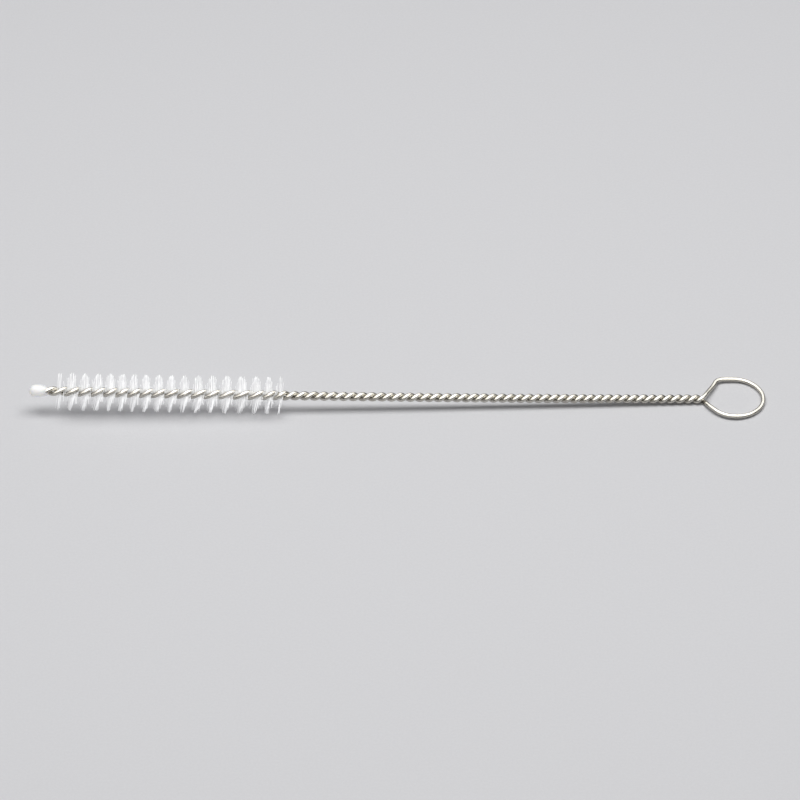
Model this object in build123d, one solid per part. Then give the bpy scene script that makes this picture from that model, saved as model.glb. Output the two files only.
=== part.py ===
from build123d import *
import math
import os

# A small bottle brush. One wire is folded in the middle into a hanging ring, and its two legs are
# twisted together, pinching a row of nylon filaments near the tip. A plastic bead covers the cut ends.
# Millimetres. The brush is drawn along +X from the bead's tip, then laid down as it comes to rest:
# on the end of its bristles and the far side of its ring, with +Z up.

# Wire. It is round, and drawn with flat sides whose corners lie on the true round
wire_diameter = 1.25
wire_flat_count = 6
stations_per_turn = 9
leg_gap = 0.02

# Lengths along the brush, one after the other from the bead's tip
bead_length = 5.3
bare_tip_length = 2.3
head_length = 61.6
stem_length = 113.4

# Turns of the twist for each millimetre. The filaments slacken it near the end of the head
head_twist = 0.152
slack_twist = 0.115
stem_twist_at_head = 0.187
stem_twist_at_ring = 0.2115

# Where the twist starts to slacken and is slackest along the head, and where it is tight along the stem
slackening_share = 0.3
slackest_share = 0.83
tight_share = 0.775

# How far the middle of the brush lies to one side of the line from its tip to its neck
bow = 0.8

# Hanging ring, in the plane of the brush and bent a little to one side
ring_radius = 7.8
ring_stations = 34
ring_bend_angle = 4.7
neck_spread_angle = 64
shoulder_angle = 56
shoulder_reach = 9.05

# Bristles, a filament at each step of the twist
head_diameter = 10.5
filament_thickness = 0.2
filament_clearance = 0.06
filaments_per_turn = 14

# Bead, turned from short cones
bead_diameter = 3.5
bead_widest_at = 2.3
bead_end_diameter = 2.1
wire_into_bead = 3.1
nose_cones = 5
tail_cones = 3

wire_radius = wire_diameter / 2
stem_helix_radius = (wire_radius + leg_gap / 2) / math.cos(math.pi / stations_per_turn)
head_helix_radius = stem_helix_radius + filament_thickness / 2 + filament_clearance

wire_start = bead_length - wire_into_bead
head_start = bead_length + bare_tip_length
head_end = head_start + head_length
neck_at = head_end + stem_length
closing_length = 0.5 / stem_twist_at_head

# The twist along the brush, as places and the twist there. It changes evenly from each to the next
twist_stops = [
    (0, head_twist),
    (head_start + slackening_share * head_length, head_twist),
    (head_start + slackest_share * head_length, slack_twist),
    (head_end + closing_length, stem_twist_at_head),
    (head_end + tight_share * stem_length, stem_twist_at_ring),
    (neck_at, stem_twist_at_ring),
]


def turns_before_neck(x):
    """Turns of the twist between x and the ring's neck."""
    turns = 0
    for (left, left_twist), (right, right_twist) in zip(twist_stops, twist_stops[1:]):
        start = min(max(x, left), right)
        start_twist = left_twist + (right_twist - left_twist) * (start - left) / (right - left)
        turns += (right - start) * (start_twist + right_twist) / 2
    return turns


def place_of_turn(turns):
    """The place along the brush that lies this many turns before the neck, found by halving."""
    low = 0
    high = neck_at
    for _ in range(40):
        middle = (low + high) / 2
        if turns_before_neck(middle) > turns:
            low = middle
        else:
            high = middle
    return (low + high) / 2


def phase(x):
    """The direction from the axis to the first leg, in degrees from +Y towards +Z. A left-hand twist."""
    return 90 + 360 * turns_before_neck(x)


def sideways(x):
    """How far the brush's bow moves its axis along Y here."""
    from_middle = 2 * x / neck_at - 1
    return -bow * (1 - from_middle**2)


def helix_radius(x):
    """The filaments hold the legs apart along the head, and past it half a turn closes them again."""
    outside = max(head_start - x, x - head_end, 0)
    share = min(outside / closing_length, 1)
    return head_helix_radius + (stem_helix_radius - head_helix_radius) * share


def leg_point(x, leg):
    """A point on the centre line of leg 0 or leg 1, half a turn apart."""
    angle = math.radians(phase(x) + 180 * leg)
    radius = helix_radius(x)
    return Vector(x, sideways(x) + radius * math.cos(angle), radius * math.sin(angle))


def ring_point(reach, angle, lift=0, centre=0):
    """A point this far from the centre, at this angle to the ring's own line, which starts at the neck."""
    flat = Vector(centre, 0, 0) + Vector(reach, 0, 0).rotate(Axis.Z, angle)
    return Vector(neck_at, 0, lift) + flat.rotate(Axis.Z, ring_bend_angle)


def ring_curve():
    """The ring's centre line: straight out of the neck to a shoulder, round the circle and straight back."""
    step = 0.01
    out = (leg_point(neck_at, 0) - leg_point(neck_at - step, 0)).normalized()
    back = (leg_point(neck_at - step, 1) - leg_point(neck_at, 1)).normalized()
    lift = stem_helix_radius / 2
    ring_centre = ring_radius / math.sin(math.radians(neck_spread_angle))
    run_length = ring_radius / math.tan(math.radians(neck_spread_angle))
    stops = [leg_point(neck_at, 0)]
    stops.append(ring_point(0.35 * shoulder_reach, shoulder_angle, lift))
    stops.append(ring_point(0.7 * shoulder_reach, shoulder_angle))
    stops.append(ring_point(shoulder_reach, shoulder_angle))
    for angle in range(92, -140, -24):
        stops.append(ring_point(ring_radius, angle, 0, ring_centre))
    stops.append(ring_point(run_length, -neck_spread_angle))
    stops.append(ring_point(0.5 * run_length, -neck_spread_angle, -lift))
    stops.append(leg_point(neck_at, 1))
    return Spline(stops, tangents=[out, back])


def make_wire():
    """One wire from cut end to cut end, swept in short straight runs that are mitred where they meet."""
    steps = math.floor(turns_before_neck(wire_start) * stations_per_turn)
    places = [wire_start]
    places += [place_of_turn(step / stations_per_turn) for step in range(steps, -1, -1)]
    curve = ring_curve()
    points = [leg_point(x, 0) for x in places]
    points += [curve @ (step / ring_stations) for step in range(1, ring_stations)]
    points += [leg_point(x, 1) for x in reversed(places)]
    start = Plane(origin=points[0], z_dir=points[1] - points[0])
    section = start * RegularPolygon(wire_radius, wire_flat_count)
    return sweep(section, path=Polyline(points), transition=Transition.RIGHT)


def make_bristles():
    """Filaments side by side, each square to the line between the two legs that pinch it."""
    first = math.ceil(turns_before_neck(head_end) * filaments_per_turn)
    last = math.floor(turns_before_neck(head_start) * filaments_per_turn)
    filaments = []
    for step in range(first, last):
        right = place_of_turn(step / filaments_per_turn)
        left = place_of_turn((step + 1) / filaments_per_turn)
        middle = (left + right) / 2
        filament = Box(right - left, head_diameter, filament_thickness)
        filaments.append(Pos(middle, sideways(middle), 0) * Rot(X=phase(middle) + 90) * filament)
    return filaments[0].fuse(*filaments[1:])


def make_bead(wire):
    """A drop, blunt at the tip and narrow where the wire comes out, moulded round the cut ends."""
    widest = bead_diameter / 2
    end = bead_end_diameter / 2
    outline = []
    for step in range(nose_cones + 1):
        angle = math.pi / 2 * step / nose_cones
        outline.append((bead_widest_at * (1 - math.cos(angle)), widest * math.sin(angle)))
    for step in range(1, tail_cones + 1):
        angle = math.pi / 2 * step / tail_cones
        along = bead_widest_at + (bead_length - bead_widest_at) * step / tail_cones
        outline.append((along, end + (widest - end) * math.cos(angle)))
    outline.append((bead_length, 0))
    drop = revolve(make_face(Polyline(outline, close=True)), Axis.X)
    return drop - wire


def lowest(piece):
    return piece.bounding_box().min.Z


def resting_tilt(wire, bristles):
    """The tilt at which the bristles and the ring touch the ground together."""
    span = wire.bounding_box().max.X - head_end
    tilt = math.degrees(math.asin((head_diameter - wire_diameter) / 2 / span))
    for _ in range(3):
        rise = lowest(Rot(Y=tilt) * bristles) - lowest(Rot(Y=tilt) * wire)
        tilt -= math.degrees(rise / span)
    return tilt


def lay_down(pieces, tilt):
    """Tip the brush as it rests and centre it over the origin, with the ground at Z 0."""
    tipped = [Rot(Y=tilt) * piece for piece in pieces]
    boxes = [piece.bounding_box() for piece in tipped]
    middle_x = (min(box.min.X for box in boxes) + max(box.max.X for box in boxes)) / 2
    middle_y = (min(box.min.Y for box in boxes) + max(box.max.Y for box in boxes)) / 2
    ground = min(box.min.Z for box in boxes)
    return [Pos(-middle_x, -middle_y, -ground) * piece for piece in tipped]


wire = make_wire()
bristles = make_bristles()
tip_bead = make_bead(wire)
names = ["wire", "bristles", "tip_bead"]
placed = lay_down([wire, bristles, tip_bead], resting_tilt(wire, bristles))

os.makedirs("parts", exist_ok=True)
for name, piece in zip(names, placed):
    export_step(piece, f"parts/{name}.step")
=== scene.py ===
import bpy
import math
import random
from mathutils import Matrix, Quaternion, Vector


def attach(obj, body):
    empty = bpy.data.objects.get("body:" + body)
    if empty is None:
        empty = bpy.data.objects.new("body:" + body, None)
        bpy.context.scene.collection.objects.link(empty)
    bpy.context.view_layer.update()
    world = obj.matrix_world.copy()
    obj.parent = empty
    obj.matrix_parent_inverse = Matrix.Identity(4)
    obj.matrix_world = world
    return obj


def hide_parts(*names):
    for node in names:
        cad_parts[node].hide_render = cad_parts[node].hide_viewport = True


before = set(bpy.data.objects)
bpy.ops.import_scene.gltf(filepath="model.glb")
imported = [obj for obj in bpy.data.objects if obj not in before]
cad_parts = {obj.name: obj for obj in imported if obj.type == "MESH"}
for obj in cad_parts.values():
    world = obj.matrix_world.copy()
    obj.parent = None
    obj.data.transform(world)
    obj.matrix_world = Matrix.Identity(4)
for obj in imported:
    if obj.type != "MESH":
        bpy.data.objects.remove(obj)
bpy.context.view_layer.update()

MM = 0.001

# The wire and its twist, in millimetres along the brush from the bead's tip
wire_radius = 0.62
bead_length = 5.3
wire_start = 2.2
head_start = 7.6
head_end = 69.2
neck_at = 182.6
stem_helix_radius = 0.637
head_helix_radius = 0.715
closing_length = 2.67
path_points_per_turn = 12
curve_steps = 3
bevel_steps = 5

# Places along the brush, and the twist there in turns for each millimetre. It changes evenly between them
twist_stops = [
    (0, 0.144), (20, 0.144), (23, 0.16), (58.73, 0.12), (69.6, 0.187), (157.09, 0.2115), (neck_at, 0.2115),
]

# The ring, bent a little to one side, and the slight bow of the whole brush
ring_radius = 7.785
neck_spread_angle = 64
ring_bend_angle = 4.7
shoulder_angle = 56
shoulder_reach = 9.05
bow = 0.8

# The bristles. The row thins out over a short length at both ends of the head. Angles are in degrees
filament_radius = 0.065
filament_length = 10.4
filaments_in_row = 520
filament_kinds = 12
filament_sides = 5
filament_cuts = 7
thinning_length = 3.0
share_at_row_end = 0.1
upper_lean = (-0.25, 0.15)
lower_lean = (0.4, 0.9)
uneven_length = 0.4
lean_curve = 1.6
turned_ahead = (3, 2)
dragged_back = 9
sideways_tilt = 1.2
seed = 7

# The bead
bead_radius = 1.74
bead_widest_at = 2.3
bead_end_radius = 0.95
bead_sides = 48
nose_steps = 12
nose_fullness = 0.92
tail_steps = 9
tail_fullness = 2.2

# The way the brush lies: tipped about Y, then moved over the origin
rest_tilt = 1.988785
rest_place = (-99.758973, -0.692491, 7.594)


def lay_down(piece):
    """Tips a piece drawn along the brush into the way it lies, in metres, with its object at the origin."""
    tip = Matrix.Rotation(math.radians(rest_tilt), 4, "Y")
    piece.data.transform(Matrix.Translation(Vector(rest_place) * MM) @ tip @ Matrix.Scale(MM, 4))
    piece.data.update()


def turns_before_neck(x):
    """Turns of the twist between x and the ring's neck."""
    turns = 0
    for (left, left_twist), (right, right_twist) in zip(twist_stops, twist_stops[1:]):
        start = min(max(x, left), right)
        start_twist = left_twist + (right_twist - left_twist) * (start - left) / (right - left)
        turns += (right - start) * (start_twist + right_twist) / 2
    return turns


def place_of_turn(turns):
    """The place along the brush that lies this many turns before the neck, found by halving."""
    low = 0
    high = neck_at
    for _ in range(40):
        middle = (low + high) / 2
        if turns_before_neck(middle) > turns:
            low = middle
        else:
            high = middle
    return (low + high) / 2


def phase(x):
    """The direction from the axis to the first leg, in radians from +Y towards +Z."""
    return math.radians(90 + 360 * turns_before_neck(x))


def helix_radius(x):
    """The filaments hold the legs apart along the head, and past it half a turn closes them again."""
    outside = max(head_start - x, x - head_end, 0)
    share = min(outside / closing_length, 1)
    return head_helix_radius + (stem_helix_radius - head_helix_radius) * share


def sideways(x):
    """How far the brush's bow moves its axis along Y here."""
    from_middle = 2 * x / neck_at - 1
    return -bow * (1 - from_middle**2)


def leg_point(x, leg):
    """A point on the middle line of leg 0 or leg 1, half a turn apart."""
    angle = phase(x) + math.pi * leg
    radius = helix_radius(x)
    return Vector((x, sideways(x) + radius * math.cos(angle), radius * math.sin(angle)))


def ring_point(reach, angle, lift=0, centre=0):
    """A point this far from the centre, at this angle to the ring's own line, which starts at the neck."""
    turn = math.radians(angle)
    flat = Vector((centre + reach * math.cos(turn), reach * math.sin(turn), lift))
    flat.rotate(Matrix.Rotation(math.radians(ring_bend_angle), 3, "Z"))
    return Vector((neck_at, 0, 0)) + flat


def ring_points():
    """Out of the neck to the shoulder, round the circle and straight back to the neck."""
    lift = stem_helix_radius / 2
    ring_centre = ring_radius / math.sin(math.radians(neck_spread_angle))
    run_length = ring_radius / math.tan(math.radians(neck_spread_angle))
    points = [ring_point(0.35 * shoulder_reach, shoulder_angle, lift)]
    points.append(ring_point(0.7 * shoulder_reach, shoulder_angle))
    points.append(ring_point(shoulder_reach, shoulder_angle))
    for angle in range(92, -140, -24):
        points.append(ring_point(ring_radius, angle, 0, ring_centre))
    points.append(ring_point(run_length, -neck_spread_angle))
    points.append(ring_point(0.5 * run_length, -neck_spread_angle, -lift))
    return points


def wire_points():
    """The whole wire's middle line, from one cut end in the bead round to the other."""
    steps = math.floor(turns_before_neck(wire_start) * path_points_per_turn)
    places = [wire_start]
    places += [place_of_turn(step / path_points_per_turn) for step in range(steps, -1, -1)]
    points = [leg_point(x, 0) for x in places]
    points += ring_points()
    points += [leg_point(x, 1) for x in reversed(places)]
    return points


def select_none():
    """Leaves edit mode and deselects all, so that the next operator acts on its own piece."""
    if bpy.context.mode != "OBJECT":
        bpy.ops.object.mode_set(mode="OBJECT")
    bpy.ops.object.select_all(action="DESELECT")


def make_active(piece):
    select_none()
    piece.select_set(True)
    bpy.context.view_layer.objects.active = piece


def mark_along(mesh, around):
    """Writes, for each corner of a drawn wire, the way along it in millimetres and the way round it."""
    strand = mesh.attributes.new("strand", "FLOAT_VECTOR", "POINT")
    rings = len(mesh.vertices) // around
    along = 0
    before = None
    for ring in range(rings):
        corners = [mesh.vertices[ring * around + side].co for side in range(around)]
        middle = sum(corners, Vector()) / around
        if before is not None:
            along += (middle - before).length
        before = middle
        for side in range(around):
            turn = 2 * math.pi * side / around
            strand.data[ring * around + side].vector = (along, math.cos(turn), math.sin(turn))


def make_wire():
    """A curve along both legs and the ring, given the wire's thickness and turned into a mesh."""
    select_none()
    bpy.ops.curve.primitive_bezier_curve_add(location=(0, 0, 0))
    wire = bpy.context.object
    wire.name = "twisted_wire"
    line = wire.data.splines[0]
    points = wire_points()
    line.bezier_points.add(len(points) - 2)
    for knot, place in zip(line.bezier_points, points):
        knot.co = place
        knot.handle_left_type = "AUTO"
        knot.handle_right_type = "AUTO"
    wire.data.resolution_u = curve_steps
    wire.data.bevel_depth = wire_radius
    wire.data.bevel_resolution = bevel_steps
    wire.data.use_fill_caps = True
    make_active(wire)
    bpy.ops.object.convert(target="MESH")
    wire = bpy.context.object
    bpy.ops.object.shade_smooth()
    mark_along(wire.data, 4 + 2 * bevel_steps)
    lay_down(wire)
    return wire


def make_filament(name, lean_up, lean_down, length_up, length_down):
    """One filament across the brush, pinched in its middle. Its lower arm leans towards the bead."""
    select_none()
    depth = length_up + length_down
    bpy.ops.mesh.primitive_cylinder_add(vertices=filament_sides, radius=filament_radius, depth=depth)
    filament = bpy.context.object
    filament.name = name
    filament.data.transform(Matrix.Translation((0, 0, (length_up - length_down) / 2)))
    mesh = filament.data
    bpy.ops.object.mode_set(mode="EDIT")
    bpy.ops.mesh.select_mode(type="EDGE")
    bpy.ops.mesh.select_all(action="DESELECT")
    bpy.ops.object.mode_set(mode="OBJECT")
    for edge in mesh.edges:
        low, high = (mesh.vertices[i].co.z for i in edge.vertices)
        edge.select = abs(high - low) > depth / 2
    bpy.ops.object.mode_set(mode="EDIT")
    bpy.ops.mesh.subdivide(number_cuts=filament_cuts)
    bpy.ops.object.mode_set(mode="OBJECT")
    strand = mesh.attributes.new("strand", "FLOAT_VECTOR", "POINT")
    for vertex in mesh.vertices:
        share = vertex.co.z / (filament_length / 2)
        across = (vertex.co.x / filament_radius, vertex.co.y / filament_radius)
        strand.data[vertex.index].vector = (vertex.co.z, *across)
        lean = lean_up if share > 0 else lean_down
        vertex.co.x -= lean * abs(share) ** lean_curve
    for polygon in mesh.polygons:
        polygon.use_smooth = len(polygon.vertices) == 4
    return filament


def make_bristles():
    """A long row of filaments, turned step by step with the twist."""
    chance = random.Random(seed)
    kinds = []
    for number in range(filament_kinds):
        kinds.append(make_filament(
            f"filament_kind_{number}",
            chance.uniform(*upper_lean),
            chance.uniform(*lower_lean),
            filament_length / 2 - chance.uniform(0, uneven_length),
            filament_length / 2 - chance.uniform(0, uneven_length),
        ))
    first = turns_before_neck(head_end)
    last = turns_before_neck(head_start)
    row = []
    for number in range(filaments_in_row):
        turn = first + (last - first) * (number + chance.uniform(0.1, 0.9)) / filaments_in_row
        x = place_of_turn(turn)
        angle = phase(x) + math.radians(chance.gauss(*turned_ahead) - abs(chance.gauss(0, dragged_back)))
        if math.cos(angle) < 0:
            angle += math.pi
        lean = math.radians(chance.gauss(0, sideways_tilt))
        filament = chance.choice(kinds)
        lot = chance.random()
        from_end = min(x - head_start, head_end - x)
        if chance.random() > share_at_row_end + (1 - share_at_row_end) * from_end / thinning_length:
            continue
        copy = filament.copy()
        copy.data = filament.data.copy()
        place = Matrix.Translation((x, sideways(x), 0))
        copy.data.transform(place @ Matrix.Rotation(angle, 4, "X") @ Matrix.Rotation(lean, 4, "Y"))
        share = copy.data.attributes.new("lot", "FLOAT", "POINT")
        share.data.foreach_set("value", [lot] * len(copy.data.vertices))
        bpy.context.collection.objects.link(copy)
        row.append(copy)
    select_none()
    for kind in kinds:
        bpy.data.objects.remove(kind)
    for copy in row:
        copy.select_set(True)
    bristles = row[0]
    bpy.context.view_layer.objects.active = bristles
    bpy.ops.object.join()
    bristles.name = "filament_row"
    lay_down(bristles)
    return bristles


def bead_outline():
    """The drop's radius along the brush: a full round nose, then a tail that narrows to the wire."""
    outline = []
    for step in range(1, nose_steps + 1):
        angle = math.pi / 2 * step / nose_steps
        along = bead_widest_at * (1 - math.cos(angle) ** nose_fullness)
        outline.append((along, bead_radius * math.sin(angle) ** nose_fullness))
    for step in range(1, tail_steps + 1):
        share = step / tail_steps
        narrowing = 1 - share**tail_fullness
        radius = bead_end_radius + (bead_radius - bead_end_radius) * narrowing
        outline.append((bead_widest_at + (bead_length - bead_widest_at) * share, radius))
    return outline


def make_bead():
    """A round rim drawn out ring by ring into a drop, and closed at both ends."""
    outline = bead_outline()
    select_none()
    start, radius = outline[0]
    bpy.ops.mesh.primitive_circle_add(
        vertices=bead_sides, radius=radius, location=(start, 0, 0), rotation=(0, math.pi / 2, 0)
    )
    bead = bpy.context.object
    bead.name = "moulded_bead"
    bpy.ops.object.transform_apply(location=True, rotation=True, scale=True)
    bpy.ops.object.mode_set(mode="EDIT")
    bpy.ops.mesh.select_all(action="SELECT")
    for along, next_radius in outline[1:]:
        bpy.ops.mesh.extrude_edges_move(TRANSFORM_OT_translate={"value": (along - start, 0, 0)})
        grow = next_radius / radius
        bpy.ops.transform.resize(value=(1, grow, grow), center_override=(along, 0, 0))
        start, radius = along, next_radius
    for shrink in (0.85, 0.6):
        bpy.ops.mesh.extrude_edges_move(TRANSFORM_OT_translate={"value": (0.02, 0, 0)})
        bpy.ops.transform.resize(value=(1, shrink, shrink), center_override=(bead_length, 0, 0))
    bpy.ops.mesh.edge_face_add()
    bpy.ops.mesh.select_all(action="DESELECT")
    bpy.ops.object.mode_set(mode="OBJECT")
    tip_along = outline[0][0] + 1e-4
    for edge in bead.data.edges:
        edge.select = all(bead.data.vertices[i].co.x < tip_along for i in edge.vertices)
    bpy.ops.object.mode_set(mode="EDIT")
    bpy.ops.mesh.extrude_edges_move(TRANSFORM_OT_translate={"value": (-outline[0][0], 0, 0)})
    bpy.ops.mesh.merge(type="CENTER")
    bpy.ops.mesh.select_all(action="SELECT")
    bpy.ops.mesh.normals_make_consistent(inside=False)
    bpy.ops.object.mode_set(mode="OBJECT")
    bpy.ops.object.shade_smooth()
    lay_down(bead)
    return bead


def add_node(tree, kind, **settings):
    """A new shader node with these settings."""
    node = tree.nodes.new(kind)
    for name, value in settings.items():
        setattr(node, name, value)
    return node


def set_inputs(node, **values):
    """Sets sockets by name, with _ for a space."""
    for name, value in values.items():
        node.inputs[name.replace("_", " ")].default_value = value


def new_group(name, inputs, outputs):
    """An empty node group. Inputs are (name, kind, value) and outputs (name, kind)."""
    group = bpy.data.node_groups.new(name, "ShaderNodeTree")
    for label, kind, value in inputs:
        socket = group.interface.new_socket(label, in_out="INPUT", socket_type=kind)
        if value is not None:
            socket.default_value = value
    for label, kind in outputs:
        group.interface.new_socket(label, in_out="OUTPUT", socket_type=kind)
    start = add_node(group, "NodeGroupInput")
    end = add_node(group, "NodeGroupOutput")
    return group, start, end


def streaks_group():
    """Long thin marks that run along a strand. Puts out a value from 0 to 1."""
    group, start, end = new_group(
        "drawn_streaks",
        [
            ("Strand", "NodeSocketVector", None),
            ("Along", "NodeSocketFloat", 0.1),
            ("Round", "NodeSocketFloat", 6.0),
            ("Detail", "NodeSocketFloat", 3.0),
        ],
        [("Value", "NodeSocketFloat")],
    )
    links = group.links
    stretch = add_node(group, "ShaderNodeCombineXYZ")
    scale = add_node(group, "ShaderNodeVectorMath", operation="MULTIPLY")
    noise = add_node(group, "ShaderNodeTexNoise")
    spread = add_node(group, "ShaderNodeMapRange", interpolation_type="SMOOTHSTEP")
    set_inputs(noise, Scale=1.0, Roughness=0.6)
    set_inputs(spread, From_Min=0.3, From_Max=0.7)
    links.new(start.outputs["Along"], stretch.inputs["X"])
    links.new(start.outputs["Round"], stretch.inputs["Y"])
    links.new(start.outputs["Round"], stretch.inputs["Z"])
    links.new(start.outputs["Strand"], scale.inputs[0])
    links.new(stretch.outputs["Vector"], scale.inputs[1])
    links.new(scale.outputs["Vector"], noise.inputs["Vector"])
    links.new(start.outputs["Detail"], noise.inputs["Detail"])
    links.new(noise.outputs["Fac"], spread.inputs["Value"])
    links.new(spread.outputs["Result"], end.inputs["Value"])
    return group


def mottle_group():
    """Soft uneven patches in space. Puts out a value from 0 to 1."""
    group, start, end = new_group(
        "soft_patches",
        [
            ("Place", "NodeSocketVector", None),
            ("Size", "NodeSocketFloat", 500.0),
            ("Detail", "NodeSocketFloat", 3.0),
        ],
        [("Value", "NodeSocketFloat")],
    )
    links = group.links
    noise = add_node(group, "ShaderNodeTexNoise")
    spread = add_node(group, "ShaderNodeMapRange", interpolation_type="SMOOTHSTEP")
    set_inputs(noise, Roughness=0.55)
    set_inputs(spread, From_Min=0.32, From_Max=0.68)
    links.new(start.outputs["Place"], noise.inputs["Vector"])
    links.new(start.outputs["Size"], noise.inputs["Scale"])
    links.new(start.outputs["Detail"], noise.inputs["Detail"])
    links.new(noise.outputs["Fac"], spread.inputs["Value"])
    links.new(spread.outputs["Result"], end.inputs["Value"])
    return group


def new_material(name):
    """A material with nothing but its shader and output."""
    material = bpy.data.materials.new(name)
    material.use_nodes = True
    tree = material.node_tree
    tree.nodes.clear()
    shader = add_node(tree, "ShaderNodeBsdfPrincipled")
    output = add_node(tree, "ShaderNodeOutputMaterial")
    tree.links.new(shader.outputs["BSDF"], output.inputs["Surface"])
    return material, tree, shader


def strand_value(tree, along, around, detail):
    """A material's own copy of the streaks, read from the piece's strand attribute."""
    place = add_node(tree, "ShaderNodeAttribute", attribute_name="strand")
    marks = add_node(tree, "ShaderNodeGroup", node_tree=streaks)
    set_inputs(marks, Along=along, Round=around, Detail=detail)
    tree.links.new(place.outputs["Vector"], marks.inputs["Strand"])
    return marks.outputs["Value"]


def patch_value(tree, size, detail):
    """A material's own copy of the patches, read from the piece's Object coordinates."""
    place = add_node(tree, "ShaderNodeTexCoord")
    patches = add_node(tree, "ShaderNodeGroup", node_tree=mottle)
    set_inputs(patches, Size=size, Detail=detail)
    tree.links.new(place.outputs["Object"], patches.inputs["Place"])
    return patches.outputs["Value"]


def blend_colours(tree, share, first, second):
    """From the first colour to the second as the share goes from 0 to 1."""
    mix = add_node(tree, "ShaderNodeMix", data_type="RGBA")
    if isinstance(first, tuple):
        mix.inputs[6].default_value = first
    else:
        tree.links.new(first, mix.inputs[6])
    mix.inputs[7].default_value = second
    tree.links.new(share, mix.inputs[0])
    return mix.outputs[2]


def ranged(tree, share, low, high):
    """A share from 0 to 1, moved to the range from low to high."""
    change = add_node(tree, "ShaderNodeMapRange")
    set_inputs(change, To_Min=low, To_Max=high)
    tree.links.new(share, change.inputs["Value"])
    return change.outputs["Result"]


def bump(tree, shader, height, distance, strength):
    """Raises the surface by this height."""
    node = add_node(tree, "ShaderNodeBump")
    set_inputs(node, Distance=distance, Strength=strength)
    tree.links.new(height, node.inputs["Height"])
    tree.links.new(node.outputs["Normal"], shader.inputs["Normal"])


def drawn_steel():
    """Bright spring wire: a little warm, with fine marks from the drawing die and faint duller patches."""
    material, tree, shader = new_material("drawn_steel")
    shader.inputs["Metallic"].default_value = 1
    die_marks = strand_value(tree, 0.12, 5.0, 4.0)
    dull_patches = patch_value(tree, 260.0, 3.0)
    colour = blend_colours(tree, die_marks, (0.56, 0.54, 0.5, 1), (0.5, 0.48, 0.435, 1))
    colour = blend_colours(tree, ranged(tree, dull_patches, 0.0, 0.35), colour, (0.42, 0.395, 0.345, 1))
    tree.links.new(colour, shader.inputs["Base Color"])
    uneven = add_node(tree, "ShaderNodeMath", operation="MULTIPLY_ADD")
    tree.links.new(die_marks, uneven.inputs[0])
    uneven.inputs[1].default_value = 0.1
    tree.links.new(ranged(tree, dull_patches, 0.09, 0.16), uneven.inputs[2])
    tree.links.new(uneven.outputs[0], shader.inputs["Roughness"])
    bump(tree, shader, die_marks, 0.00002, 0.5)
    return material


def white_nylon():
    """Fine filaments of white nylon: each a little whiter or greyer, with faint streaks along it."""
    material, tree, shader = new_material("white_nylon")
    set_inputs(shader, IOR=1.5)
    lot = add_node(tree, "ShaderNodeAttribute", attribute_name="lot")
    marks = strand_value(tree, 0.5, 1.5, 2.0)
    colour = blend_colours(tree, lot.outputs["Fac"], (0.985, 0.985, 0.985, 1), (0.95, 0.95, 0.955, 1))
    colour = blend_colours(tree, ranged(tree, marks, 0.0, 0.35), colour, (0.88, 0.89, 0.9, 1))
    tree.links.new(colour, shader.inputs["Base Color"])
    tree.links.new(ranged(tree, marks, 0.28, 0.42), shader.inputs["Roughness"])
    bump(tree, shader, marks, 0.00002, 0.4)
    return material


def white_plastic():
    """Moulded plastic, nearly white, with a faint orange-peel surface and slightly uneven gloss."""
    material, tree, shader = new_material("white_plastic")
    set_inputs(shader, Subsurface_Weight=0.8, Subsurface_Scale=0.003)
    shader.inputs["Subsurface Radius"].default_value = (1, 0.9, 0.75)
    cloudy = patch_value(tree, 420.0, 2.0)
    peel = patch_value(tree, 2600.0, 2.0)
    colour = blend_colours(tree, cloudy, (0.9, 0.895, 0.875, 1), (0.86, 0.855, 0.835, 1))
    tree.links.new(colour, shader.inputs["Base Color"])
    tree.links.new(ranged(tree, cloudy, 0.22, 0.36), shader.inputs["Roughness"])
    bump(tree, shader, peel, 0.00003, 0.35)
    return material


def grey_paper():
    """Plain matt paper with a barely visible grain."""
    material, tree, shader = new_material("grey_paper")
    set_inputs(shader, Roughness=0.9, Specular_IOR_Level=0.1)
    grain = patch_value(tree, 1500.0, 5.0)
    colour = blend_colours(tree, grain, (0.662, 0.662, 0.672, 1), (0.645, 0.645, 0.655, 1))
    tree.links.new(colour, shader.inputs["Base Color"])
    bump(tree, shader, grain, 0.00005, 0.25)
    return material


streaks = streaks_group()
mottle = mottle_group()

wire = make_wire()
bristles = make_bristles()
bead = make_bead()
wire.data.materials.append(drawn_steel())
bristles.data.materials.append(white_nylon())
bead.data.materials.append(white_plastic())

stand_ins = (
    (wire, "wire", "steel_wire"),
    (bristles, "bristles", "nylon"),
    (bead, "tip_bead", "bead_plastic"),
)
for piece, node, finish in stand_ins:
    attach(piece, "root")
    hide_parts(node)

select_none()
bpy.ops.mesh.primitive_plane_add(size=6, location=(0, 0, 0))
floor = bpy.context.object
floor.name = "floor"
floor.data.materials.append(grey_paper())

# The camera looks down on the brush from the side
camera_distance = 1.2
camera_azimuth = math.radians(-0.31)
camera_elevation = math.radians(40.3)
camera_roll = math.radians(-1)
pixels_per_mm = 3.6865
aim = Vector((0.56, -0.292, 2.085)) * MM
camera_data = bpy.data.cameras.new("camera")
camera = bpy.data.objects.new("camera", camera_data)
bpy.context.collection.objects.link(camera)
away = Vector((
    -math.sin(camera_azimuth) * math.cos(camera_elevation),
    -math.cos(camera_azimuth) * math.cos(camera_elevation),
    math.sin(camera_elevation),
))
camera.location = aim + away * camera_distance
camera.rotation_euler = ((-away).to_track_quat("-Z", "Y") @ Quaternion((0, 0, 1), camera_roll)).to_euler()
camera_data.sensor_width = 36
camera_data.lens = 36 * pixels_per_mm * camera_distance / MM / 800
camera_data.clip_start = 0.01
bpy.context.scene.camera = camera

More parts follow.
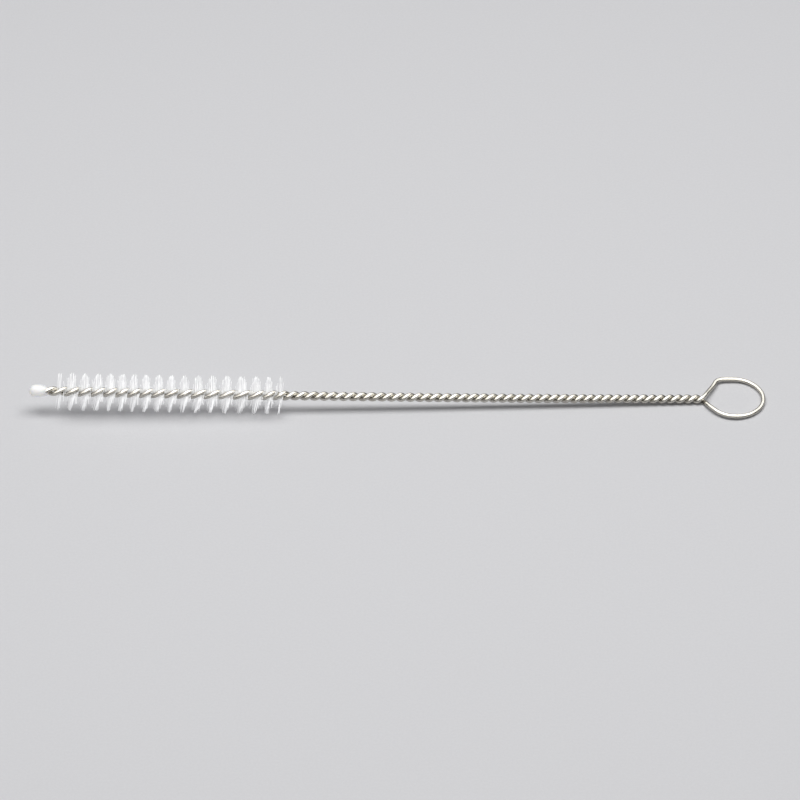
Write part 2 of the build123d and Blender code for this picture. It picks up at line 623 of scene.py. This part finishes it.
# A soft box straight overhead in a dim room
bpy.ops.object.light_add(type="AREA", location=(0, 0.0, 0.9))
soft_box = bpy.context.object
soft_box.name = "soft_box"
soft_box.data.shape = "RECTANGLE"
soft_box.data.size = 1.0
soft_box.data.size_y = 0.5
soft_box.data.energy = 7.6

# Low soft fills, each for one of the white pieces alone, whose sides the soft box hardly reaches
fills = (
    ("front_fill", 72, 1.75, bristles),
    ("back_fill", -72, 1.3, bristles),
    ("bead_fill", 72, 0.45, bead),
)
for name, tilt, strength, lit in fills:
    reached = bpy.data.collections.new("lit_by_" + name)
    reached.objects.link(lit)
    bpy.ops.object.light_add(type="SUN", rotation=(math.radians(tilt), 0, 0))
    fill = bpy.context.object
    fill.name = name
    fill.data.energy = strength
    fill.data.angle = math.radians(40)
    fill.visible_glossy = False
    fill.light_linking.receiver_collection = reached


def light_room():
    """A dim grey room. Shiny surfaces see a wide pale ceiling overhead and darker walls."""
    world = bpy.data.worlds.new("room")
    bpy.context.scene.world = world
    world.use_nodes = True
    tree = world.node_tree
    background = tree.nodes["Background"]
    direction = add_node(tree, "ShaderNodeTexCoord")
    height = add_node(tree, "ShaderNodeSeparateXYZ")
    ceiling = add_node(tree, "ShaderNodeMapRange", interpolation_type="SMOOTHSTEP")
    set_inputs(ceiling, From_Min=0.39, From_Max=0.47)
    ray = add_node(tree, "ShaderNodeLightPath")
    seen = blend_colours(tree, ceiling.outputs["Result"], (0.03, 0.03, 0.031, 1), (2.3, 2.3, 2.26, 1))
    tree.links.new(direction.outputs["Generated"], height.inputs["Vector"])
    tree.links.new(height.outputs["Z"], ceiling.inputs["Value"])
    mix = add_node(tree, "ShaderNodeMix", data_type="RGBA")
    mix.inputs[6].default_value = (0.24, 0.24, 0.25, 1)
    tree.links.new(seen, mix.inputs[7])
    tree.links.new(ray.outputs["Is Glossy Ray"], mix.inputs[0])
    show = add_node(tree, "ShaderNodeMix", data_type="RGBA")
    tree.links.new(mix.outputs[2], show.inputs[6])
    show.inputs[7].default_value = (0.65, 0.65, 0.66, 1)
    tree.links.new(ray.outputs["Is Camera Ray"], show.inputs[0])
    tree.links.new(show.outputs[2], background.inputs["Color"])
    background.inputs["Strength"].default_value = 1


light_room()
bpy.context.scene.view_settings.view_transform = "Standard"

select_none()
